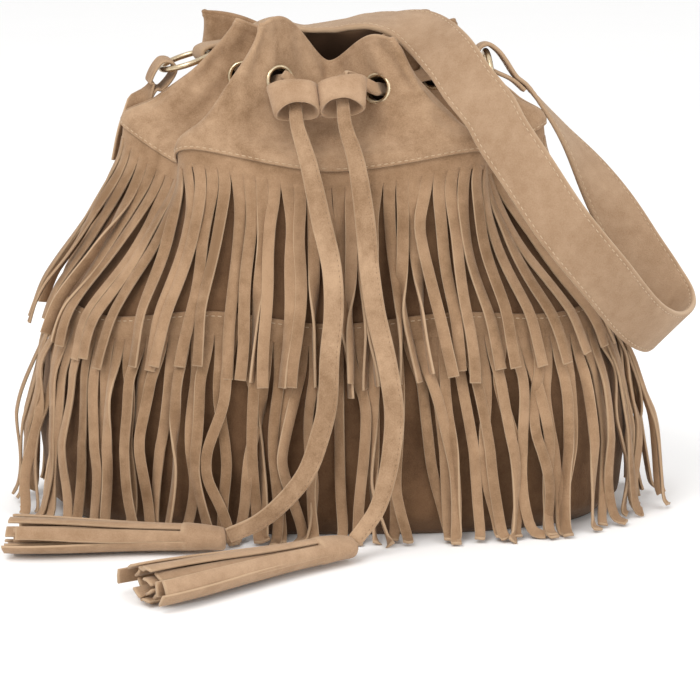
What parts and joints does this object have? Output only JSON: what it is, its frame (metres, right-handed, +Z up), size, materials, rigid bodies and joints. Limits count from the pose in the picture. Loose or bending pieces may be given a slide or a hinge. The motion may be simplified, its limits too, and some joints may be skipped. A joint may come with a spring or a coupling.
{
  "type": "fringed suede bucket bag",
  "caption": "Gathered suede bucket bag with fringe in tiers, a drawstring with tassels through brass eyelets, a slider and a shoulder strap on rings.",
  "frame": {"origin": "centre of the underside of the base panel", "axes": "+Z up, -Y the front with the slider, +X towards the side that the strap hangs on"},
  "size_m": [0.3441, 0.2838, 0.2556],
  "materials": {
    "suede": "tan suede with a soft nap",
    "strap_suede": "pale tan suede, edge stitched",
    "lining": "dark woven cloth",
    "brass": "antique brass, worn bright on the edges"
  },
  "bodies": {
    "bag": {"base_panel": "suede", "body_front": "suede", "body_back": "suede", "yoke_front": "suede", "yoke_back": "suede", "fringe_upper_front": "suede", "fringe_upper_back": "suede", "fringe_lower_front": "suede", "fringe_lower_back": "suede", "drawstring": "suede", "tassel_left": "suede", "tassel_right": "suede", "strap": "strap_suede", "ring_tab_left": "suede", "ring_tab_right": "suede", "lining": "lining", "eyelet_01": "brass", "eyelet_02": "brass", "eyelet_03": "brass", "eyelet_04": "brass", "eyelet_05": "brass", "eyelet_06": "brass", "eyelet_07": "brass", "eyelet_08": "brass", "eyelet_09": "brass", "eyelet_10": "brass", "eyelet_11": "brass", "eyelet_12": "brass", "eyelet_washer_01": "brass", "eyelet_washer_02": "brass", "eyelet_washer_03": "brass", "eyelet_washer_04": "brass", "eyelet_washer_05": "brass", "eyelet_washer_06": "brass", "eyelet_washer_07": "brass", "eyelet_washer_08": "brass", "eyelet_washer_09": "brass", "eyelet_washer_10": "brass", "eyelet_washer_11": "brass", "eyelet_washer_12": "brass"},
    "slider": {"slider": "suede"},
    "ring_left": {"strap_ring_left": "brass"},
    "ring_right": {"strap_ring_right": "brass"}
  },
  "joints": [
    {"name": "slider_slide", "type": "slide", "parent": "bag", "child": "slider", "axis": [0.0999, -0.5793, -0.809], "range_m": [0, 0.014]},
    {"name": "ring_left_spin", "type": "hinge", "parent": "bag", "child": "ring_left", "pos_m": [-0.075, 0.014, 0.228], "axis": [-0.2869, -0.1175, 0.9507], "continuous": true},
    {"name": "ring_right_spin", "type": "hinge", "parent": "bag", "child": "ring_right", "pos_m": [0.08, 0.024, 0.2185], "axis": [-0.9901, -0.099, -0.099], "continuous": true}
  ]
}
